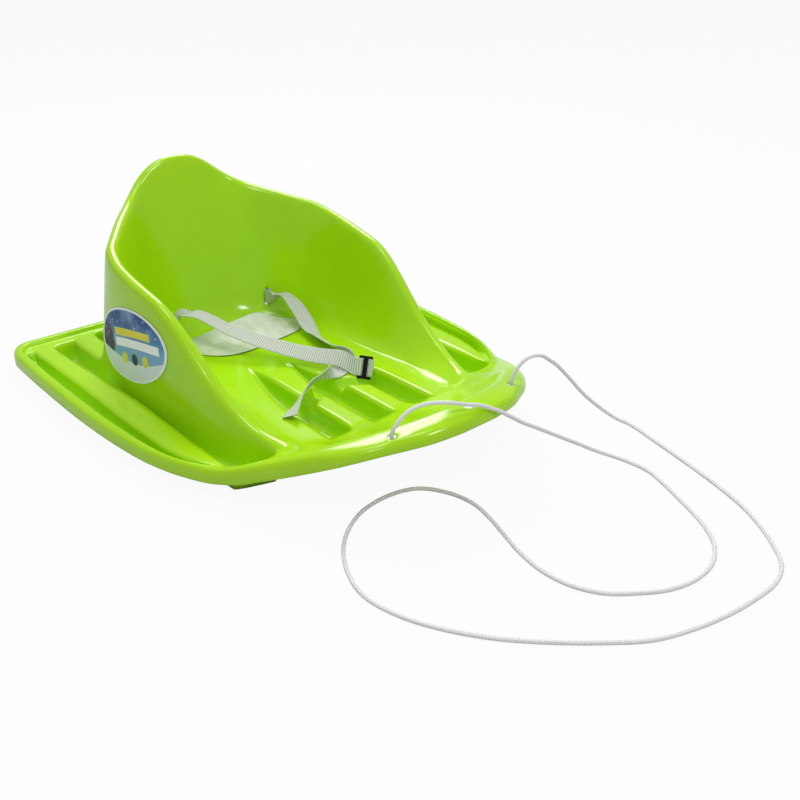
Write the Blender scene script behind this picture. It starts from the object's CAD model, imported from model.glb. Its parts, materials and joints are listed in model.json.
"""Looks of the baby pull sled, laid out as an add-on and run as a script."""
import json
import math

import bmesh
import bpy
from mathutils import Matrix, Vector

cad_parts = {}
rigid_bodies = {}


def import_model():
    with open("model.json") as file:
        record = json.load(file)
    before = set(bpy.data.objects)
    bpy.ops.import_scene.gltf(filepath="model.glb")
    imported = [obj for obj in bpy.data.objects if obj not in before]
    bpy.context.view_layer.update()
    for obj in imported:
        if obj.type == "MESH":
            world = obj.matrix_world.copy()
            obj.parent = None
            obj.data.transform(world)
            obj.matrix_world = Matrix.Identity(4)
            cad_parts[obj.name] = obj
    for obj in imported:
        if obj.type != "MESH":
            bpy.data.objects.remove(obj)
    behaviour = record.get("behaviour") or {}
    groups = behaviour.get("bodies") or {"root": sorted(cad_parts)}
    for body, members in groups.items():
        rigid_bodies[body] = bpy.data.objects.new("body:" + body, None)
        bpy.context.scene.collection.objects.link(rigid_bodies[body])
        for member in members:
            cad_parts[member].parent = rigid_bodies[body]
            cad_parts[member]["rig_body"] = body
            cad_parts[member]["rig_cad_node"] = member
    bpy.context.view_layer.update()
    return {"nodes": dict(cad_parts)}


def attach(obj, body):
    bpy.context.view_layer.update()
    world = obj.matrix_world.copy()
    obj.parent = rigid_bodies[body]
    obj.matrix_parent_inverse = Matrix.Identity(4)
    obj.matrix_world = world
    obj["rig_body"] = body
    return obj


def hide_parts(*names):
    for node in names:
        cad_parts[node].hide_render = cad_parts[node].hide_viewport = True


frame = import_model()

bl_info = {
    "name": "Baby Pull Sled",
    "version": (1, 0, 0),
    "blender": (4, 5, 0),
    "location": "View3D > Sidebar > Sled",
    "description": "Dresses the sled's CAD frame: moulded shell, belt, buckle, label, seat band and tow rope",
    "category": "Object",
}

MM = 0.001

# Patterns, in radians a metre: the webbing's ribs and its cords, the band's threads and the rope's plait
RIB_TURN = 1000.0
CORD_TURN = 2600.0
WEAVE_TURN = 3600.0
PLAIT_TURN = 620.0
# Four strands go round the rope each way
STRANDS_TURN = 8 * math.pi
# The label's length and height, the place of its middle (y, z) and its tilt, in millimetres and degrees
LABEL_SIZE = (168.0, 90.0)
LABEL_AT = (93.0, 84.0)
LABEL_TILT = 11
# Points nearer than this many millimetres are one, and triangles this flat, in degrees, make a quad
MERGE_GAP = 0.02
PAIR_TURN = 24
# Edges of the ribs and grooves, below this height in millimetres, stay crisp from this turn in degrees on
RIB_TOP = 30.5
SHARP_TURN = 22


class Val:
    """A socket that Python's operators can be used on."""

    def __init__(self, mat, socket):
        self.mat = mat
        self.socket = socket

    def _math(self, operation, *others):
        values = dict(enumerate((self,) + others))
        return self.mat.node("ShaderNodeMath", {"operation": operation}, values)

    def _swap(self, operation, other):
        return self.mat.node("ShaderNodeMath", {"operation": operation}, {0: other, 1: self})

    def __add__(self, other):
        return self._math("ADD", other)

    def __radd__(self, other):
        return self._swap("ADD", other)

    def __sub__(self, other):
        return self._math("SUBTRACT", other)

    def __rsub__(self, other):
        return self._swap("SUBTRACT", other)

    def __mul__(self, other):
        return self._math("MULTIPLY", other)

    def __rmul__(self, other):
        return self._swap("MULTIPLY", other)

    def __truediv__(self, other):
        return self._math("DIVIDE", other)

    def __pow__(self, other):
        return self._math("POWER", other)

    def __abs__(self):
        return self._math("ABSOLUTE")

    def sin(self):
        return self._math("SINE")

    def most(self, other):
        return self._math("MAXIMUM", other)

    def ramp(self, low, high):
        """0 up to low, 1 from high on, smooth between."""
        return self.mat.node("ShaderNodeMapRange", {"interpolation_type": "SMOOTHSTEP"},
                             {"Value": self, "From Min": low, "From Max": high})


class Finish:
    """One procedural material."""

    def __init__(self, name):
        old = bpy.data.materials.get(name)
        self.ready = old is not None
        self.data = old or bpy.data.materials.new(name)
        self.data.use_nodes = True
        self.tree = self.data.node_tree
        if not self.ready:
            self.tree.nodes.clear()

    def node(self, kind, settings=None, inputs=None, out=0):
        """A node of one type: first its settings, then the values or links of its sockets."""
        made = self.tree.nodes.new(kind)
        for key, value in (settings or {}).items():
            setattr(made, key, value)
        for key, value in (inputs or {}).items():
            socket = made.inputs[key]
            if isinstance(value, Val):
                self.tree.links.new(value.socket, socket)
            else:
                socket.default_value = value
        return Val(self, made.outputs[out])

    def axes(self, coords):
        split = self.node("ShaderNodeSeparateXYZ", inputs={0: coords})
        return [Val(self, split.socket.node.outputs[i]) for i in range(3)]

    def object_coords(self):
        return self.node("ShaderNodeTexCoord", out=3)

    def uv(self):
        return self.node("ShaderNodeUVMap", {"uv_map": "UVMap"})

    def noise(self, coords, scale, detail=2.0, rough=0.5):
        return self.node("ShaderNodeTexNoise", inputs={"Vector": coords, "Scale": scale, "Detail": detail,
                                                       "Roughness": rough})

    def blend(self, share, a, b):
        made = self.tree.nodes.new("ShaderNodeMix")
        made.data_type = "RGBA"
        for socket, value in ((made.inputs[0], share), (made.inputs[6], a), (made.inputs[7], b)):
            if isinstance(value, Val):
                self.tree.links.new(value.socket, socket)
            elif socket.type == "RGBA":
                socket.default_value = (*value, 1.0)
            else:
                socket.default_value = value
        return Val(self, made.outputs[2])

    def bump(self, height, strength, distance):
        return self.node("ShaderNodeBump", inputs={"Height": height, "Strength": strength,
            "Distance": distance})

    def surface(self, **inputs):
        names = {key.replace("_", " "): value for key, value in inputs.items()}
        shader = self.node("ShaderNodeBsdfPrincipled", inputs=names)
        end = self.tree.nodes.new("ShaderNodeOutputMaterial")
        self.tree.links.new(shader.socket, end.inputs["Surface"])
        return self.data


def moulded_lime(colour):
    """Glossy plastic with a faint cloud and ripple, scuffed where it slides on the ground."""
    mat = Finish("moulded_lime")
    if mat.ready:
        return mat.data
    place = mat.object_coords()
    cloud = mat.noise(place, 9.0, 3.0)
    grain = mat.noise(place, 900.0, 2.0)
    ripple = mat.noise(place, 26.0, 1.0)
    _, _, z = mat.axes(place)
    under = 1.0 - z.ramp(0.001, 0.012)
    scuff = mat.noise(place, 160.0, 4.0).ramp(0.52, 0.7) * under
    deep = tuple(c * 0.93 for c in colour)
    worn = (0.5, 0.62, 0.28)
    tone = mat.blend(cloud.ramp(0.3, 0.7), deep, colour)
    tone = mat.blend(scuff * 0.35, tone, worn)
    return mat.surface(
        Base_Color=tone, Roughness=0.13 + grain * 0.06 + scuff * 0.2, IOR=1.48,
        Normal=mat.bump(grain * 0.15 + ripple, 0.18, 0.0006))


def woven_webbing():
    """Ribbed white webbing; the map runs in metres, u across it and v along it."""
    mat = Finish("woven_webbing")
    if mat.ready:
        return mat.data
    u, v, _ = mat.axes(mat.uv())
    hollow, crown, selvedge = (0.24, 0.27, 0.21), (0.68, 0.70, 0.66), (0.55, 0.57, 0.52)
    wave = (v * RIB_TURN).sin()
    ribs = abs(wave)
    cords = abs((u * CORD_TURN + wave * 0.4).sin())
    edge = abs(u).ramp(0.0097, 0.0104)
    fuzz = mat.noise(mat.object_coords(), 1500.0, 2.0)
    weave = ribs * 0.7 + cords * 0.3
    shade = weave.ramp(0.1, 0.75)
    tone = mat.blend(shade, hollow, crown)
    tone = mat.blend(edge * 0.4, tone, selvedge)
    return mat.surface(Base_Color=tone, Roughness=0.72 + fuzz * 0.15, Sheen_Weight=0.15, Sheen_Roughness=0.5,
                       Normal=mat.bump(weave + fuzz * 0.25, 0.8, 0.0007))


def braid():
    """White plaited rope; u goes once round it, and v runs along it in metres."""
    mat = Finish("braided_rope")
    if mat.ready:
        return mat.data
    u, v, _ = mat.axes(mat.uv())
    gap, strand = (0.62, 0.63, 0.62), (0.9, 0.9, 0.885)
    one = abs((u * STRANDS_TURN + v * PLAIT_TURN).sin())
    two = abs((u * STRANDS_TURN - v * PLAIT_TURN).sin())
    fuzz = mat.noise(mat.object_coords(), 2200.0, 2.0)
    plait = one.most(two)
    tone = mat.blend(plait.ramp(0.45, 0.95), gap, strand)
    return mat.surface(Base_Color=tone, Roughness=0.6 + fuzz * 0.15, Sheen_Weight=0.1,
                       Normal=mat.bump(plait + fuzz * 0.2, 0.8, 0.0007))


def black_buckle():
    """Black plastic with a fine grain."""
    mat = Finish("black_buckle")
    if mat.ready:
        return mat.data
    grain = mat.noise(mat.object_coords(), 1400.0, 2.0)
    dark, less_dark = (0.002,) * 3, (0.005,) * 3
    tone = mat.blend(grain.ramp(0.3, 0.8), dark, less_dark)
    return mat.surface(Base_Color=tone, Roughness=0.4 + grain * 0.15, IOR=1.45, Specular_IOR_Level=0.25,
                       Normal=mat.bump(grain, 0.2, 0.0002))


def soft_band():
    """Thin white cloth with soft creases that lets a little of the lime through."""
    mat = Finish("soft_band")
    if mat.ready:
        return mat.data
    place = mat.object_coords()
    x, y, _ = mat.axes(place)
    tinted, pale = (0.60, 0.66, 0.46), (0.76, 0.78, 0.70)
    folds = mat.noise(place, 55.0, 3.0)
    weave = abs((x * WEAVE_TURN).sin()) * 0.5 + abs((y * WEAVE_TURN).sin()) * 0.5
    tone = mat.blend(folds.ramp(0.3, 0.7), tinted, pale)
    return mat.surface(Base_Color=tone, Roughness=0.32 + weave * 0.15, Coat_Weight=0.2, Coat_Roughness=0.2,
                       Normal=mat.bump(folds * 1.6 + weave * 0.06, 0.7, 0.004))


def winter_label():
    """A plain printed winter scene inside a white rim."""
    mat = Finish("winter_label")
    if mat.ready:
        return mat.data
    half_l, half_h = LABEL_SIZE[0] / 2 * MM, LABEL_SIZE[1] / 2 * MM
    at = (0.0, LABEL_AT[0] * MM, LABEL_AT[1] * MM)
    turn = (math.radians(-LABEL_TILT), 0.0, 0.0)
    place = mat.node("ShaderNodeMapping", {"vector_type": "TEXTURE"},
                     {"Vector": mat.object_coords(), "Location": at, "Rotation": turn})
    _, y, z = mat.axes(place)
    along_it = y * (1 / half_l)
    up = z * (1 / half_h)
    low_sky, high_sky, haze = (0.16, 0.48, 0.74), (0.006, 0.07, 0.27), (0.45, 0.66, 0.82)
    hills, mauve, snow = (0.20, 0.42, 0.66), (0.05, 0.014, 0.11), (0.74, 0.80, 0.84)
    gold, white, black = (0.80, 0.72, 0.06), (0.93, 0.95, 0.95), (0.02, 0.03, 0.04)
    ball_gold, flake, paper = (0.75, 0.70, 0.05), (0.96, 0.97, 0.98), (0.90, 0.91, 0.90)
    sky = mat.blend(up.ramp(-0.5, 0.8), low_sky, high_sky)
    shine = mat.noise(place, 30.0, 3.0)
    sky = mat.blend(shine.ramp(0.5, 0.75) * 0.5, sky, haze)
    far_hill = (0.10 + (along_it * 3.1 + 0.8).sin() * 0.16 - up).ramp(-0.01, 0.03)
    near_hill = ((along_it * 2.3 - 1.1).sin() * 0.16 - 0.30 - up).ramp(-0.01, 0.03)
    tone = mat.blend(far_hill, sky, hills)
    mound = 1.0 - (((along_it - 0.78) * 2.2) ** 2.0 + ((up - 0.02) * 1.3) ** 2.0).ramp(0.42, 0.47)
    tone = mat.blend(mound, tone, mauve)
    tone = mat.blend(near_hill, tone, snow)
    for height, steep, middle, end, paint in ((0.34, 9.0, 0.1, 0.5, gold), (0.06, 8.0, 0.2, 0.6, white)):
        sash = ((up - height + along_it * along_it * 0.10) * steep) ** 2.0
        within = 1.0 - abs(along_it + middle).ramp(end, end + 0.03)
        tone = mat.blend((1.0 - sash.ramp(0.7, 1.0)) * within, tone, paint)
    for middle, paint in ((0.18, ball_gold), (-0.12, black), (-0.42, ball_gold)):
        ball = ((along_it - middle) * half_l / half_h) ** 2.0 + (up + 0.36) ** 2.0
        tone = mat.blend(1.0 - ball.ramp(0.022, 0.028), tone, paint)
    flakes = mat.node("ShaderNodeTexVoronoi", inputs={"Vector": place, "Scale": 120.0})
    tone = mat.blend((1.0 - flakes.ramp(0.10, 0.16)) * up.ramp(-0.1, 0.2), tone, flake)
    rim = ((along_it ** 2.0 + up ** 2.0) ** 0.5).ramp(0.935, 0.95)
    tone = mat.blend(rim, tone, paper)
    return mat.surface(Base_Color=tone, Roughness=0.42 + mat.noise(place, 300.0) * 0.08,
                       Specular_IOR_Level=0.3)


def only(obj):
    """Make obj the one selected and active object."""
    bpy.ops.object.select_all(action="DESELECT")
    obj.hide_viewport = False
    obj.select_set(True)
    bpy.context.view_layer.objects.active = obj


def add_modifier(obj, kind, **settings):
    only(obj)
    mod = obj.modifiers.new(kind.title(), kind)
    for key, value in settings.items():
        setattr(mod, key, value)
    bpy.ops.object.modifier_apply(modifier=mod.name)


def settle(obj, finish, body, slot_name, *nodes):
    """Give a finished piece its material, its body and the CAD nodes it stands for."""
    obj.data.materials.clear()
    obj.data.materials.append(finish)
    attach(obj, body)
    if nodes:
        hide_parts(*nodes)
    return obj


def copy_of(node, name):
    """A merged copy of a CAD node, with its triangles paired back into quads."""
    only(frame["nodes"][node])
    bpy.ops.object.duplicate()
    obj = bpy.context.view_layer.objects.active
    obj.parent = None
    obj.matrix_world = Matrix.Identity(4)
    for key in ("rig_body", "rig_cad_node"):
        if key in obj:
            del obj[key]
    obj.name = name
    obj.data.name = name
    only(obj)
    bpy.ops.object.mode_set(mode="EDIT")
    bpy.ops.mesh.select_all(action="SELECT")
    bpy.ops.mesh.remove_doubles(threshold=MERGE_GAP * MM)
    bpy.ops.mesh.tris_convert_to_quads(face_threshold=math.radians(PAIR_TURN), shape_threshold=math.pi)
    bpy.ops.object.mode_set(mode="OBJECT")
    return obj


def smooth(obj, angle=None):
    only(obj)
    if angle is None:
        bpy.ops.object.shade_smooth()
    else:
        bpy.ops.object.shade_smooth_by_angle(angle=math.radians(angle))


def along(points, steps):
    """Points on the curve through all the given ones, steps to each span."""
    pts = [Vector(p) for p in points]
    last = len(pts) - 1

    def slope(i):
        a, b = max(i - 1, 0), min(i + 1, last)
        return (pts[b] - pts[a]) / (b - a)

    out = []
    for k in range(last * steps + 1):
        x = k / steps
        i = min(int(x), last - 1)
        u = x - i
        out.append(pts[i] * (2 * u ** 3 - 3 * u ** 2 + 1) + slope(i) * (u ** 3 - 2 * u ** 2 + u)
                   + pts[i + 1] * (3 * u ** 2 - 2 * u ** 3) + slope(i + 1) * (u ** 3 - u ** 2))
    return out


def mesh_piece(name, verts, faces, uvs):
    """A new piece from points in millimetres, faces and one UV a point."""
    data = bpy.data.meshes.new(name)
    data.from_pydata([Vector(v) * MM for v in verts], [], faces)
    layer = data.uv_layers.new(name="UVMap")
    for loop in data.loops:
        layer.data[loop.index].uv = uvs[loop.vertex_index]
    data.validate()
    obj = bpy.data.objects.new(name, data)
    bpy.context.scene.collection.objects.link(obj)
    return obj


def tape(name, stations, steps, width, thick):
    """Flat webbing through [middle, half width vector] stations, with a soft selvedge on both edges."""
    mids = along([s[0] for s in stations], steps)
    halves = along([s[1] for s in stations], steps)
    shares = [-1, -0.97, -0.8, -0.5, 0, 0.5, 0.8, 0.97, 1]
    section = [(s, 1.0 if abs(s) < 0.99 else 0.35) for s in shares]
    section += [(s, -1.0 if abs(s) < 0.99 else -0.35) for s in reversed(shares)]
    verts, uvs, run = [], [], 0.0
    for k, (c, h) in enumerate(zip(mids, halves)):
        a, b = mids[max(k - 1, 0)], mids[min(k + 1, len(mids) - 1)]
        run += (c - mids[k - 1]).length if k else 0.0
        lift = (b - a).cross(h).normalized() * thick / 2
        side = h.normalized() * (width / 2) * h.length / (WEB_W / 2)
        for s, t in section:
            verts.append(c + side * s + lift * t)
            uvs.append((s * width / 2 * MM, run * MM))
    n = len(section)
    faces = [[k * n + i, (k + 1) * n + i, (k + 1) * n + (i + 1) % n, k * n + (i + 1) % n]
             for k in range(len(mids) - 1) for i in range(n)]
    first = (len(mids) - 1) * n
    for i in range(n // 2 - 1):
        faces.append([i, i + 1, n - 2 - i, n - 1 - i])
        faces.append([first + i, first + n - 1 - i, first + n - 2 - i, first + i + 1])
    obj = mesh_piece(name, verts, faces, uvs)
    only(obj)
    bpy.ops.object.mode_set(mode="EDIT")
    bpy.ops.mesh.select_all(action="SELECT")
    bpy.ops.mesh.normals_make_consistent(inside=False)
    bpy.ops.object.mode_set(mode="OBJECT")
    smooth(obj, 50)
    return obj


def tube(name, path, radius, sides):
    """A round cord along path in millimetres."""
    pts = [Vector(p) for p in path]
    v = Vector((1, 0, 0))
    verts, uvs, run = [], [], 0.0
    for i, p in enumerate(pts):
        d = (pts[min(i + 1, len(pts) - 1)] - pts[max(i - 1, 0)]).normalized()
        v = (v - d * v.dot(d)).normalized()
        w = d.cross(v)
        run += (p - pts[i - 1]).length if i else 0.0
        for k in range(sides):
            a = 2 * math.pi * k / sides
            verts.append(p + (v * math.cos(a) + w * math.sin(a)) * radius)
            uvs.append((k / sides, run * MM))
    faces = [[i * sides + k, i * sides + (k + 1) % sides, (i + 1) * sides + (k + 1) % sides,
        (i + 1) * sides + k]
             for i in range(len(pts) - 1) for k in range(sides)]
    faces.append(list(reversed(range(sides))))
    faces.append([(len(pts) - 1) * sides + k for k in range(sides)])
    obj = mesh_piece(name, verts, faces, uvs)
    layer = obj.data.uv_layers["UVMap"]
    for face in obj.data.polygons:
        us = [layer.data[i].uv[0] for i in face.loop_indices]
        if max(us) - min(us) > 0.5:
            for i in face.loop_indices:
                if layer.data[i].uv[0] < 0.5:
                    layer.data[i].uv[0] += 1.0
    smooth(obj, 60)
    return obj


# Sizes and places in millimetres
# The middle of the right slot and the way out of it
SLOT_MID = Vector((78.68, 192.145, 52))
SLOT_OUT = Vector((0.6917, 0.7222, 0))
# The right rope hole, the rope's width and the height where it meets its knots
ROPE_X = 86.0
ROPE_Y = -275.83
LIP_Z = 85.08
ROPE_D = 4.2
KNOT_TOP = LIP_Z - 3.6
WEB_W = 22.0
WEB_T = 1.2
# The buckle's middle and its own axes: along the webbing, along its bars and away from the floor
BUCKLE_AT = Vector((55.4, -61.2, 35.9))
BUCKLE_TURN = math.radians(-59)
BUCKLE_TILT = math.radians(63)
BX = Vector((math.cos(BUCKLE_TURN), math.sin(BUCKLE_TURN), 0))
BY = Vector((-math.sin(BUCKLE_TURN) * math.cos(BUCKLE_TILT), math.cos(BUCKLE_TURN) * math.cos(BUCKLE_TILT),
             math.sin(BUCKLE_TILT)))
BZ = BX.cross(BY)
# Radius and place of the buckle's outer bars, and how far the webbing runs from a bar's middle
BAR_R = 1.4
BAR_X = 7.6
WRAP = BAR_R + 0.25 + WEB_T / 2
OVER = WRAP + WEB_T + 0.25
UNDER = OVER


def by_slot(out, side, up=0.0):
    return (side * (SLOT_MID.x + out * SLOT_OUT.x), SLOT_MID.y + out * SLOT_OUT.y, 52 + up)


def at_buckle(x, z):
    return BUCKLE_AT + BX * x + BZ * z


# Stations of the webbing: its middle and half its width as a vector
ROOT_L = [((-65, 165.3, 71), (11, 0, -0.7)), ((-69, 173.5, 66), (6.2, 3.6, 8.4)),
    ((-73, 180, 59), (2, 2.2, 10.6)),
          (by_slot(-4, -1, 1), (0, 0.4, 10.6)), (by_slot(0, -1), (0, 0, 10.4))]
ROOT_R = [(by_slot(0, 1), (0, 0, 10.4)), (by_slot(-4, 1), (0, 0, 10.6)), ((79, 179, 56), (-1, 0, 11)),
          ((81, 172.5, 59.5), (-7, 0, 7.6)), ((82.5, 165.3, 61.6), (-11, 0, 0.7))]
REAR = [by_slot(4.2, 1)[:2], by_slot(9, 0.97)[:2], (73, 207.5), (60, 214.5), (40, 221.5), (20, 224),
    (0, 224.5)]
WEB_REAR = (ROOT_L + [((-x, y, 50), (0, 0, 10.2)) for x, y in REAR]
            + [((x, y, 50), (0, 0, 10.2)) for x, y in reversed(REAR[:6])] + ROOT_R)
STRAP_LEFT = [
    ((-64.8, 164.4, 71.2), (11, 0, -0.7)), ((-60, 155.5, 73), (9.6, 4.8, 0.8)), ((-54.5, 145, 72.8),
        (9.6, 5.2, 0.5)),
    ((-46.5, 130, 67.5), (9.6, 5.2, 1)), ((-37.5, 113, 60), (9.5, 5.2, 1.8)), ((-27, 94.5, 54.3),
        (9.4, 5.1, 2.6)),
    ((-17, 75.5, 50), (9.2, 5, 3.4)), ((-6.5, 57, 46.5), (9, 4.9, 4.1)), ((3.5, 37, 44), (8.7, 4.7, 4.9)),
    ((13, 18, 42.5), (8.3, 4.5, 5.6)), ((22, -2, 42.5), (7.9, 4.3, 6.4)), ((31, -20, 43.5), (7.4, 4, 7.1)),
    ((40, -35, 43), (6.8, 3.7, 7.8))] + [(at_buckle(x, z), BY * 11) for x, z in [
        (-13, OVER + 0.8), (-BAR_X, OVER), (-BAR_X + OVER * 0.74, OVER * 0.74), (-BAR_X / 2 - 0.1, 0.3),
        (-BAR_X / 4, -1.35), (0, -WRAP), (BAR_X / 4 + 0.2, -1.6), (BAR_X / 2 + 0.2, -0.1),
        (BAR_X - WRAP * 0.72, WRAP * 0.72), (BAR_X, WRAP), (BAR_X + WRAP * 0.72,
            WRAP * 0.72), (BAR_X + WRAP, 0),
        (BAR_X + WRAP * 0.72, -WRAP * 0.9), (BAR_X - 1.2, -UNDER + 0.2), (3, -UNDER - 0.3), (-BAR_X,
            -UNDER - 0.6),
        (-12, -UNDER - 0.7)]]
STRAP_RIGHT = [
    ((82.7, 164.4, 61.7), (-11, 0, 0.7)), ((84.5, 155, 63.5), (-10.9, 0, 1.6)), ((84.5, 143, 62.5),
        (-10.6, 0, 3)),
    ((83.5, 128, 57.5), (-11, 0, 0.5)), ((82, 112, 49.5), (-11, 0, -1)), ((79.5, 96, 41), (-11, 0, -1.5)),
    ((76, 80, 35.5), (-10.8, -1, 1)), ((71, 62, 34.6), (-9.4, -1.6, 5.4)), ((67.5, 44, 35.4),
        (-9, -1.2, 6.2)),
    ((64.5, 24, 36), (-8.6, -0.6, 6.8)), ((61.5, 3, 37), (-7.4, 0, 8.1)), ((57.5, -18, 39.4),
        (-2.4, 1, 10.6)),
    ((52.5, -36, 40.6), (2.6, 2, 10.5))] + [(at_buckle(x, z), BY * 11) for x, z in [
        (-13.5, -0.7), (-BAR_X - 1, -WRAP)]] + [(at_buckle(x, z), BY * 10.6) for x, z in [
            (-BAR_X + WRAP * 0.72, -WRAP * 0.72), (-BAR_X + WRAP, 0), (-BAR_X + WRAP * 0.72, WRAP * 0.72),
            (-BAR_X - 0.4, WRAP), (-11.5, 0.9), (-14, 0.72)]]
TAIL = [(at_buckle(-14.7, 0.72), BY * 10.6), ((42.5, -40.5, 35.6), (2.6, 5.2, 6.6)),
    ((37, -38, 31.6), (1.4, 10.6, 2)),
        ((25, -40.5, 31.4), (1, 10.4, 2.6)), ((15, -42.5, 38.6), (2.5, 3, 10)), ((6, -44, 37.5),
            (4, -3.6, 9)),
        ((-12, -50, 37), (3.6, -5, 8)), ((-30, -59, 38.5), (3.5, -4.5, 9)), ((-46, -69, 38), (3.5, -4.5, 9)),
        ((-60, -80, 37.6), (3.5, -5.2, 8.8)), ((-74, -90, 36.4), (4, -7.5, 7)), ((-86, -99, 33.6),
            (4.5, -9, 4.4))]
# Points that the rope follows; the heights are those of its underside
ROPE_FREE = [
    (-82, -279, 97), (-74, -281, 105), (-64, -284, 110), (-54, -288, 112), (-42, -292, 111), (-28, -297,
        108),
    (-13, -302, 103), (6, -308, 97), (26, -316, 86), (48, -324, 70), (72, -331, 55), (96, -339,
        40), (120, -346, 25),
    (142, -354, 11), (158, -366, 3), (166, -384, 0), (166, -408, 0), (156, -436, 0), (144, -462,
        0), (132, -487, 0),
    (117, -511, 0), (99, -529, 0), (74, -541, 0), (44, -543, 0), (15, -535, 0), (-10, -519, 0), (-32,
        -500, 0),
    (-46, -474, 0), (-50, -444, 0), (-45, -412, 0), (-35, -382, 0), (-25, -352, 0), (-20, -324,
        0), (-26, -294, 0),
    (-44, -268, 0), (-74, -258, 0), (-108, -260, 0), (-138, -273, 0), (-164, -295, 0), (-184, -326, 0),
    (-194, -362, 0), (-188, -400, 0), (-172, -436, 0), (-148, -472, 0), (-118, -505, 0), (-84, -536, 0),
    (-50, -562, 0), (-14, -577, 0), (24, -587, 0), (60, -592, 0), (94, -593, 0), (122, -584, 0), (142,
        -566, 0),
    (162, -542, 0), (180, -513, 0), (194, -480, 0), (206, -444, 0), (216, -410, 0), (225, -378,
        0), (232, -354, 0),
    (235, -334, 1), (229, -317, 5), (214, -304, 19), (190, -297, 42), (168, -292, 67), (146, -289, 90),
    (132, -288, 101), (122, -287, 108.5), (112, -285, 111.5), (103, -282, 110.5), (95, -280, 106), (89,
        -278.5, 99)]
ROPE_ROUTE = ([(-ROPE_X, ROPE_Y, KNOT_TOP), (-ROPE_X, ROPE_Y, LIP_Z + 4)]
              + [(x, y, z + ROPE_D / 2) for x, y, z in ROPE_FREE]
              + [(ROPE_X, ROPE_Y, LIP_Z + 4), (ROPE_X, ROPE_Y, KNOT_TOP)])


# The camera's place and direction in metres, and its lens on a 36 mm sensor
CAMERA_AT = Vector((-0.5712, -0.838, 0.520))
CAMERA_LOOK = Vector((0.5839, 0.6623, -0.4695))
CAMERA_LENS = 39.825

# The lamps: name, place and size in metres, and power in watts; all point at the seat's foot
LAMPS = (("key", (0.2, -1.7, 2.3), 0.5, 16.0), ("glint", (-1.3, -1.0, 2.0), 0.25, 5.0),
         ("back", (0.9, 1.5, 1.9), 1.0, 34.0), ("top", (-0.1, 0.2, 2.6), 1.0, 14.0))
LAMPS_AIM = Vector((0, 0, 0.08))

# The buckle's edges across it and along its bars, its thickness, how far it reaches below its middle plane,
# and the rounding of its edges, in millimetres
BUCKLE_XS = (-9.0, -6.2, -2.5, 2.5, 6.2, 9.0)
BUCKLE_YS = (-14.6, -11.3, 11.3, 14.6)
BUCKLE_T = 3.2
BUCKLE_LOW = 1.1
BUCKLE_ROUND = 0.9


class SledLooks(bpy.types.PropertyGroup):
    """Sizes and colours that a user would change."""

    shell_colour: bpy.props.FloatVectorProperty(
        name="Shell Colour", description="Colour of the moulded plastic", subtype="COLOR", size=3, min=0, max=1,
        default=(0.41, 0.75, 0.004))
    shell_levels: bpy.props.IntProperty(
        name="Shell Smoothness", description="Times the shell's faces are divided", default=2, min=0, max=2)
    rope_sides: bpy.props.IntProperty(
        name="Rope Sides", description="Sides of the rope's section", default=10, min=6, max=16)
    web_width: bpy.props.FloatProperty(
        name="Webbing Width", description="Width of the belt's webbing", default=WEB_W * MM, unit="LENGTH")


class SLED_OT_camera(bpy.types.Operator):
    """Put the camera at the viewing angle of the catalogue view"""

    bl_idname = "sled.camera"
    bl_label = "Camera"

    def execute(self, context):
        data = bpy.data.cameras.new("view")
        data.sensor_fit = "HORIZONTAL"
        data.sensor_width = 36.0
        data.lens = CAMERA_LENS
        data.clip_end = 60.0
        camera = bpy.data.objects.new("view", data)
        context.scene.collection.objects.link(camera)
        camera.matrix_world = (Matrix.Translation(CAMERA_AT)
                               @ CAMERA_LOOK.to_track_quat("-Z", "Y").to_matrix().to_4x4())
        context.scene.camera = camera
        return {"FINISHED"}


class SLED_OT_rope(bpy.types.Operator):
    """Lay the tow rope and tie a stop knot on each end"""

    bl_idname = "sled.rope"
    bl_label = "Tow Rope"

    def execute(self, context):
        looks = context.scene.sled_looks
        line = along(ROPE_ROUTE, 6)
        rope = tube("rope_line", line, ROPE_D / 2, looks.rope_sides)
        settle(rope, braid(), "sled", "rope", "tow_rope")
        knots = [self.knot(side) for side in (-1, 1)]
        run = sum((b - a).length for a, b in zip(line, line[1:])) * MM
        [tuple(p * MM) for p in line]
        return {"FINISHED"}

    def knot(self, side):
        """An overhand knot pulled tight, with its cut end hanging below."""
        r, rise, lap, steps = 3.9, 2.1, 4.4, 48
        turns = []
        for k in range(steps + 1):
            a = -lap / 2 + k * (2 * math.pi + lap) / steps
            bulge = 1.0 + 0.34 * math.cos(1.5 * a)
            turns.append((r * bulge * math.cos(a), r * bulge * math.sin(a), rise * math.sin(1.5 * a)))
        top, low = (0, 0, 6.3), (0, 0, -8.6)
        path = along([top, (0.4, 0.2, 4.6)] + turns[4:-4:4] + [(0.2, -0.4, -5.0), low], 5)
        here = Vector((side * ROPE_X, ROPE_Y, KNOT_TOP - 6.5))
        hand = "left" if side < 0 else "right"
        knot = tube("stop_knot_" + hand, [p + here for p in path], ROPE_D / 2 - 0.15, 12)
        return settle(knot, braid(), "sled", "rope", "rope_knot_" + hand)


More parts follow.
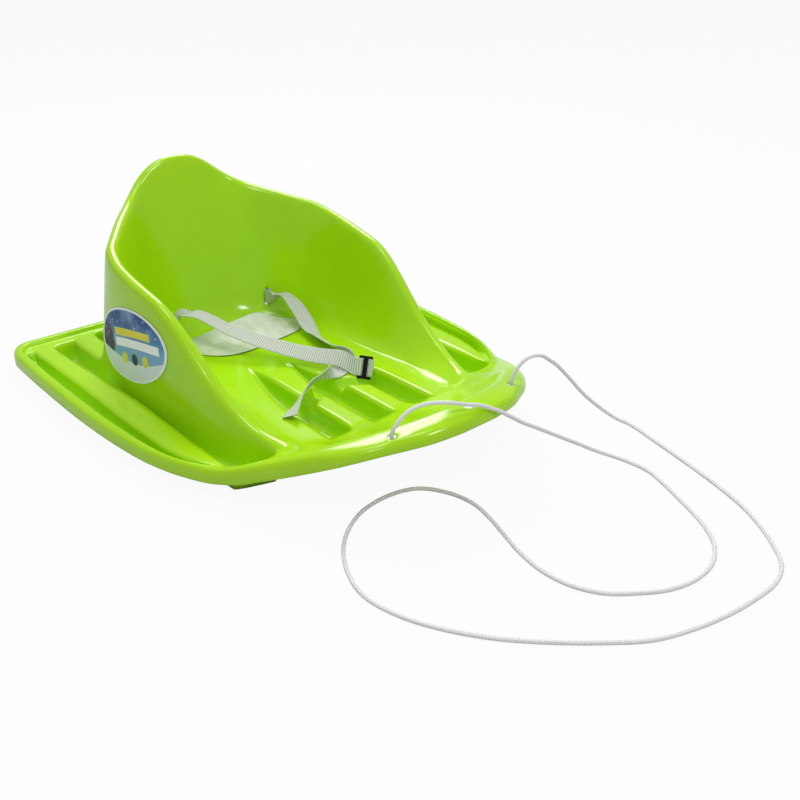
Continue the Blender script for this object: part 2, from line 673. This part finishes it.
class SLED_OT_shell(bpy.types.Operator):
    """Smooth the moulded deck and seat in one piece"""

    bl_idname = "sled.shell"
    bl_label = "Shell"

    def execute(self, context):
        looks = context.scene.sled_looks
        shell = copy_of("sled_shell", "moulded_shell")
        self.firm_edges(shell)
        add_modifier(shell, "SUBSURF", levels=looks.shell_levels, render_levels=looks.shell_levels,
                     boundary_smooth="PRESERVE_CORNERS")
        smooth(shell)
        settle(shell, moulded_lime(tuple(looks.shell_colour)), "sled", "shell", "sled_shell")
        return {"FINISHED"}

    def firm_edges(self, shell):
        """Crease the edges of the ribs and grooves; the rim and the seat's top stay round."""
        build = bmesh.new()
        build.from_mesh(shell.data)
        crease = build.edges.layers.float.get("crease_edge") or build.edges.layers.float.new("crease_edge")
        for edge in build.edges:
            if len(edge.link_faces) != 2:
                continue
            high = max(v.co.z for v in edge.verts) / MM
            turn = math.degrees(edge.calc_face_angle(0.0))
            if high < RIB_TOP and turn > SHARP_TURN:
                edge[crease] = min(0.9, (turn - 10) / 34)
        build.to_mesh(shell.data)
        build.free()


class SLED_OT_label(bpy.types.Operator):
    """Smooth the oval label and print a plain winter scene on it"""

    bl_idname = "sled.label"
    bl_label = "Label"

    def execute(self, context):
        label = copy_of("side_label", "oval_label")
        smooth(label, 40)
        settle(label, winter_label(), "sled", "label", "side_label")
        return {"FINISHED"}


class SLED_OT_belt(bpy.types.Operator):
    """Weave the belt's four lengths of webbing"""

    bl_idname = "sled.belt"
    bl_label = "Belt"

    def execute(self, context):
        width = context.scene.sled_looks.web_width / MM
        rear = tape("webbing_rear", WEB_REAR, 6, width, WEB_T)
        settle(rear, woven_webbing(), "sled", "webbing", "belt_web_rear")
        left = tape("webbing_left", STRAP_LEFT, 6, width, WEB_T)
        settle(left, woven_webbing(), "belt", "webbing", "belt_strap_left")
        right = tape("webbing_right", STRAP_RIGHT, 6, width, WEB_T)
        settle(right, woven_webbing(), "belt", "webbing", "belt_strap_right")
        tail = tape("webbing_tail", TAIL, 8, width, WEB_T)
        settle(tail, woven_webbing(), "belt_end", "webbing", "belt_tail")
        return {"FINISHED"}


class SLED_OT_buckle(bpy.types.Operator):
    """Mould the black three-bar buckle"""

    bl_idname = "sled.buckle"
    bl_label = "Buckle"

    def execute(self, context):
        bpy.ops.object.select_all(action="DESELECT")
        bpy.ops.mesh.primitive_grid_add(x_subdivisions=5, y_subdivisions=3, size=1.0, location=(0, 0, 0))
        buckle = context.view_layer.objects.active
        buckle.name = "strap_buckle"
        data = buckle.data
        for v in data.vertices:
            i = round((v.co.x + 0.5) * 5)
            j = round((v.co.y + 0.5) * 3)
            v.co = Vector((BUCKLE_XS[i], BUCKLE_YS[j], 0)) * MM
        only(buckle)
        context.tool_settings.mesh_select_mode = (False, False, True)
        bpy.ops.object.mode_set(mode="EDIT")
        bpy.ops.mesh.select_all(action="DESELECT")
        bpy.ops.object.mode_set(mode="OBJECT")
        for face in data.polygons:
            c = face.center / MM
            face.select = BUCKLE_YS[1] < c.y < BUCKLE_YS[2] and BUCKLE_XS[3] < abs(c.x) < BUCKLE_XS[4]
        bpy.ops.object.mode_set(mode="EDIT")
        bpy.ops.mesh.delete(type="FACE")
        bpy.ops.mesh.select_all(action="SELECT")
        bpy.ops.mesh.extrude_region_move(TRANSFORM_OT_translate={"value": (0, 0, BUCKLE_T * MM)})
        bpy.ops.mesh.select_all(action="SELECT")
        bpy.ops.mesh.normals_make_consistent(inside=False)
        bpy.ops.transform.translate(value=(0, 0, -BUCKLE_LOW * MM))
        bpy.ops.object.mode_set(mode="OBJECT")
        turn = Matrix((BX, BY, BZ)).transposed().to_4x4()
        add_modifier(buckle, "BEVEL", width=BUCKLE_ROUND * MM, segments=4, limit_method="ANGLE",
                     angle_limit=math.radians(40))
        data.transform(Matrix.Translation(BUCKLE_AT * MM) @ turn)
        smooth(buckle, 50)
        settle(buckle, black_buckle(), "belt", "buckle", "belt_buckle")
        return {"FINISHED"}


class SLED_OT_band(bpy.types.Operator):
    """Round off the wide band on the seat"""

    bl_idname = "sled.band"
    bl_label = "Seat Band"

    def execute(self, context):
        band = copy_of("seat_band", "soft_band")
        add_modifier(band, "SUBSURF", levels=2, render_levels=2)
        smooth(band)
        settle(band, soft_band(), "sled", "band", "seat_band")
        return {"FINISHED"}


class SLED_OT_stage(bpy.types.Operator):
    """Lay the pale floor and light the sled softly"""

    bl_idname = "sled.stage"
    bl_label = "Stage"

    def execute(self, context):
        scene = context.scene
        scene.view_settings.view_transform = "Standard"
        bpy.ops.object.select_all(action="DESELECT")
        bpy.ops.mesh.primitive_plane_add(size=16.0, location=(0, 0, -0.0002))
        floor = context.view_layer.objects.active
        floor.name = "floor"
        mat = Finish("pale_floor")
        grain = mat.noise(mat.object_coords(), 4.0)
        tone = mat.blend(grain, (0.62, 0.62, 0.62), (0.64, 0.64, 0.64))
        plain = mat.node("ShaderNodeBsdfDiffuse", inputs={"Color": tone})
        glow = mat.node("ShaderNodeEmission", inputs={"Color": (1, 1, 1, 1), "Strength": 1.0})
        rays = mat.node("ShaderNodeLightPath")
        seen = Val(mat, rays.socket.node.outputs["Is Camera Ray"])
        both = mat.node("ShaderNodeMixShader", inputs={0: seen * 0.94, 1: plain, 2: glow})
        end = mat.tree.nodes.new("ShaderNodeOutputMaterial")
        mat.tree.links.new(both.socket, end.inputs["Surface"])
        floor.data.materials.append(mat.data)
        world = bpy.data.worlds.new("studio")
        scene.world = world
        world.use_nodes = True
        tree = world.node_tree
        tree.nodes.clear()
        paths = tree.nodes.new("ShaderNodeLightPath")
        soft = tree.nodes.new("ShaderNodeBackground")
        soft.inputs["Color"].default_value = (0.95, 0.97, 1.0, 1)
        soft.inputs["Strength"].default_value = 0.42
        white = tree.nodes.new("ShaderNodeBackground")
        white.inputs["Strength"].default_value = 1.0
        white.inputs["Color"].default_value = (1, 1, 1, 1)
        mix = tree.nodes.new("ShaderNodeMixShader")
        out = tree.nodes.new("ShaderNodeOutputWorld")
        tree.links.new(paths.outputs["Is Camera Ray"], mix.inputs[0])
        tree.links.new(soft.outputs[0], mix.inputs[1])
        tree.links.new(white.outputs[0], mix.inputs[2])
        tree.links.new(mix.outputs[0], out.inputs["Surface"])
        for name, place, size, power in LAMPS:
            lamp = bpy.data.lights.new(name, "AREA")
            lamp.shape = "SQUARE"
            lamp.size = size
            lamp.energy = power
            obj = bpy.data.objects.new(name, lamp)
            scene.collection.objects.link(obj)
            aim = LAMPS_AIM - Vector(place)
            obj.matrix_world = Matrix.Translation(place) @ aim.to_track_quat("-Z", "Y").to_matrix().to_4x4()
        return {"FINISHED"}


class SLED_PT_panel(bpy.types.Panel):
    """All of the sled's pieces, in making order"""

    bl_idname = "SLED_PT_panel"
    bl_label = "Baby Pull Sled"
    bl_space_type = "VIEW_3D"
    bl_region_type = "UI"
    bl_category = "Sled"

    def draw(self, context):
        looks = context.scene.sled_looks
        for name in ("shell_colour", "shell_levels", "rope_sides", "web_width"):
            self.layout.prop(looks, name)
        for operator in STEPS:
            self.layout.operator(operator.bl_idname)


STEPS = (SLED_OT_camera, SLED_OT_rope, SLED_OT_shell, SLED_OT_label, SLED_OT_belt, SLED_OT_buckle,
    SLED_OT_band,
         SLED_OT_stage)
CLASSES = (SledLooks,) + STEPS + (SLED_PT_panel,)


def register():
    for cls in CLASSES:
        bpy.utils.register_class(cls)
    bpy.types.Scene.sled_looks = bpy.props.PointerProperty(type=SledLooks)


def unregister():
    del bpy.types.Scene.sled_looks
    for cls in reversed(CLASSES):
        bpy.utils.unregister_class(cls)


def main():
    register()
    for operator in STEPS:
        group, name = operator.bl_idname.split(".")
        getattr(getattr(bpy.ops, group), name)()
    bpy.context.view_layer.update()


if __name__ == "__main__":
    main()
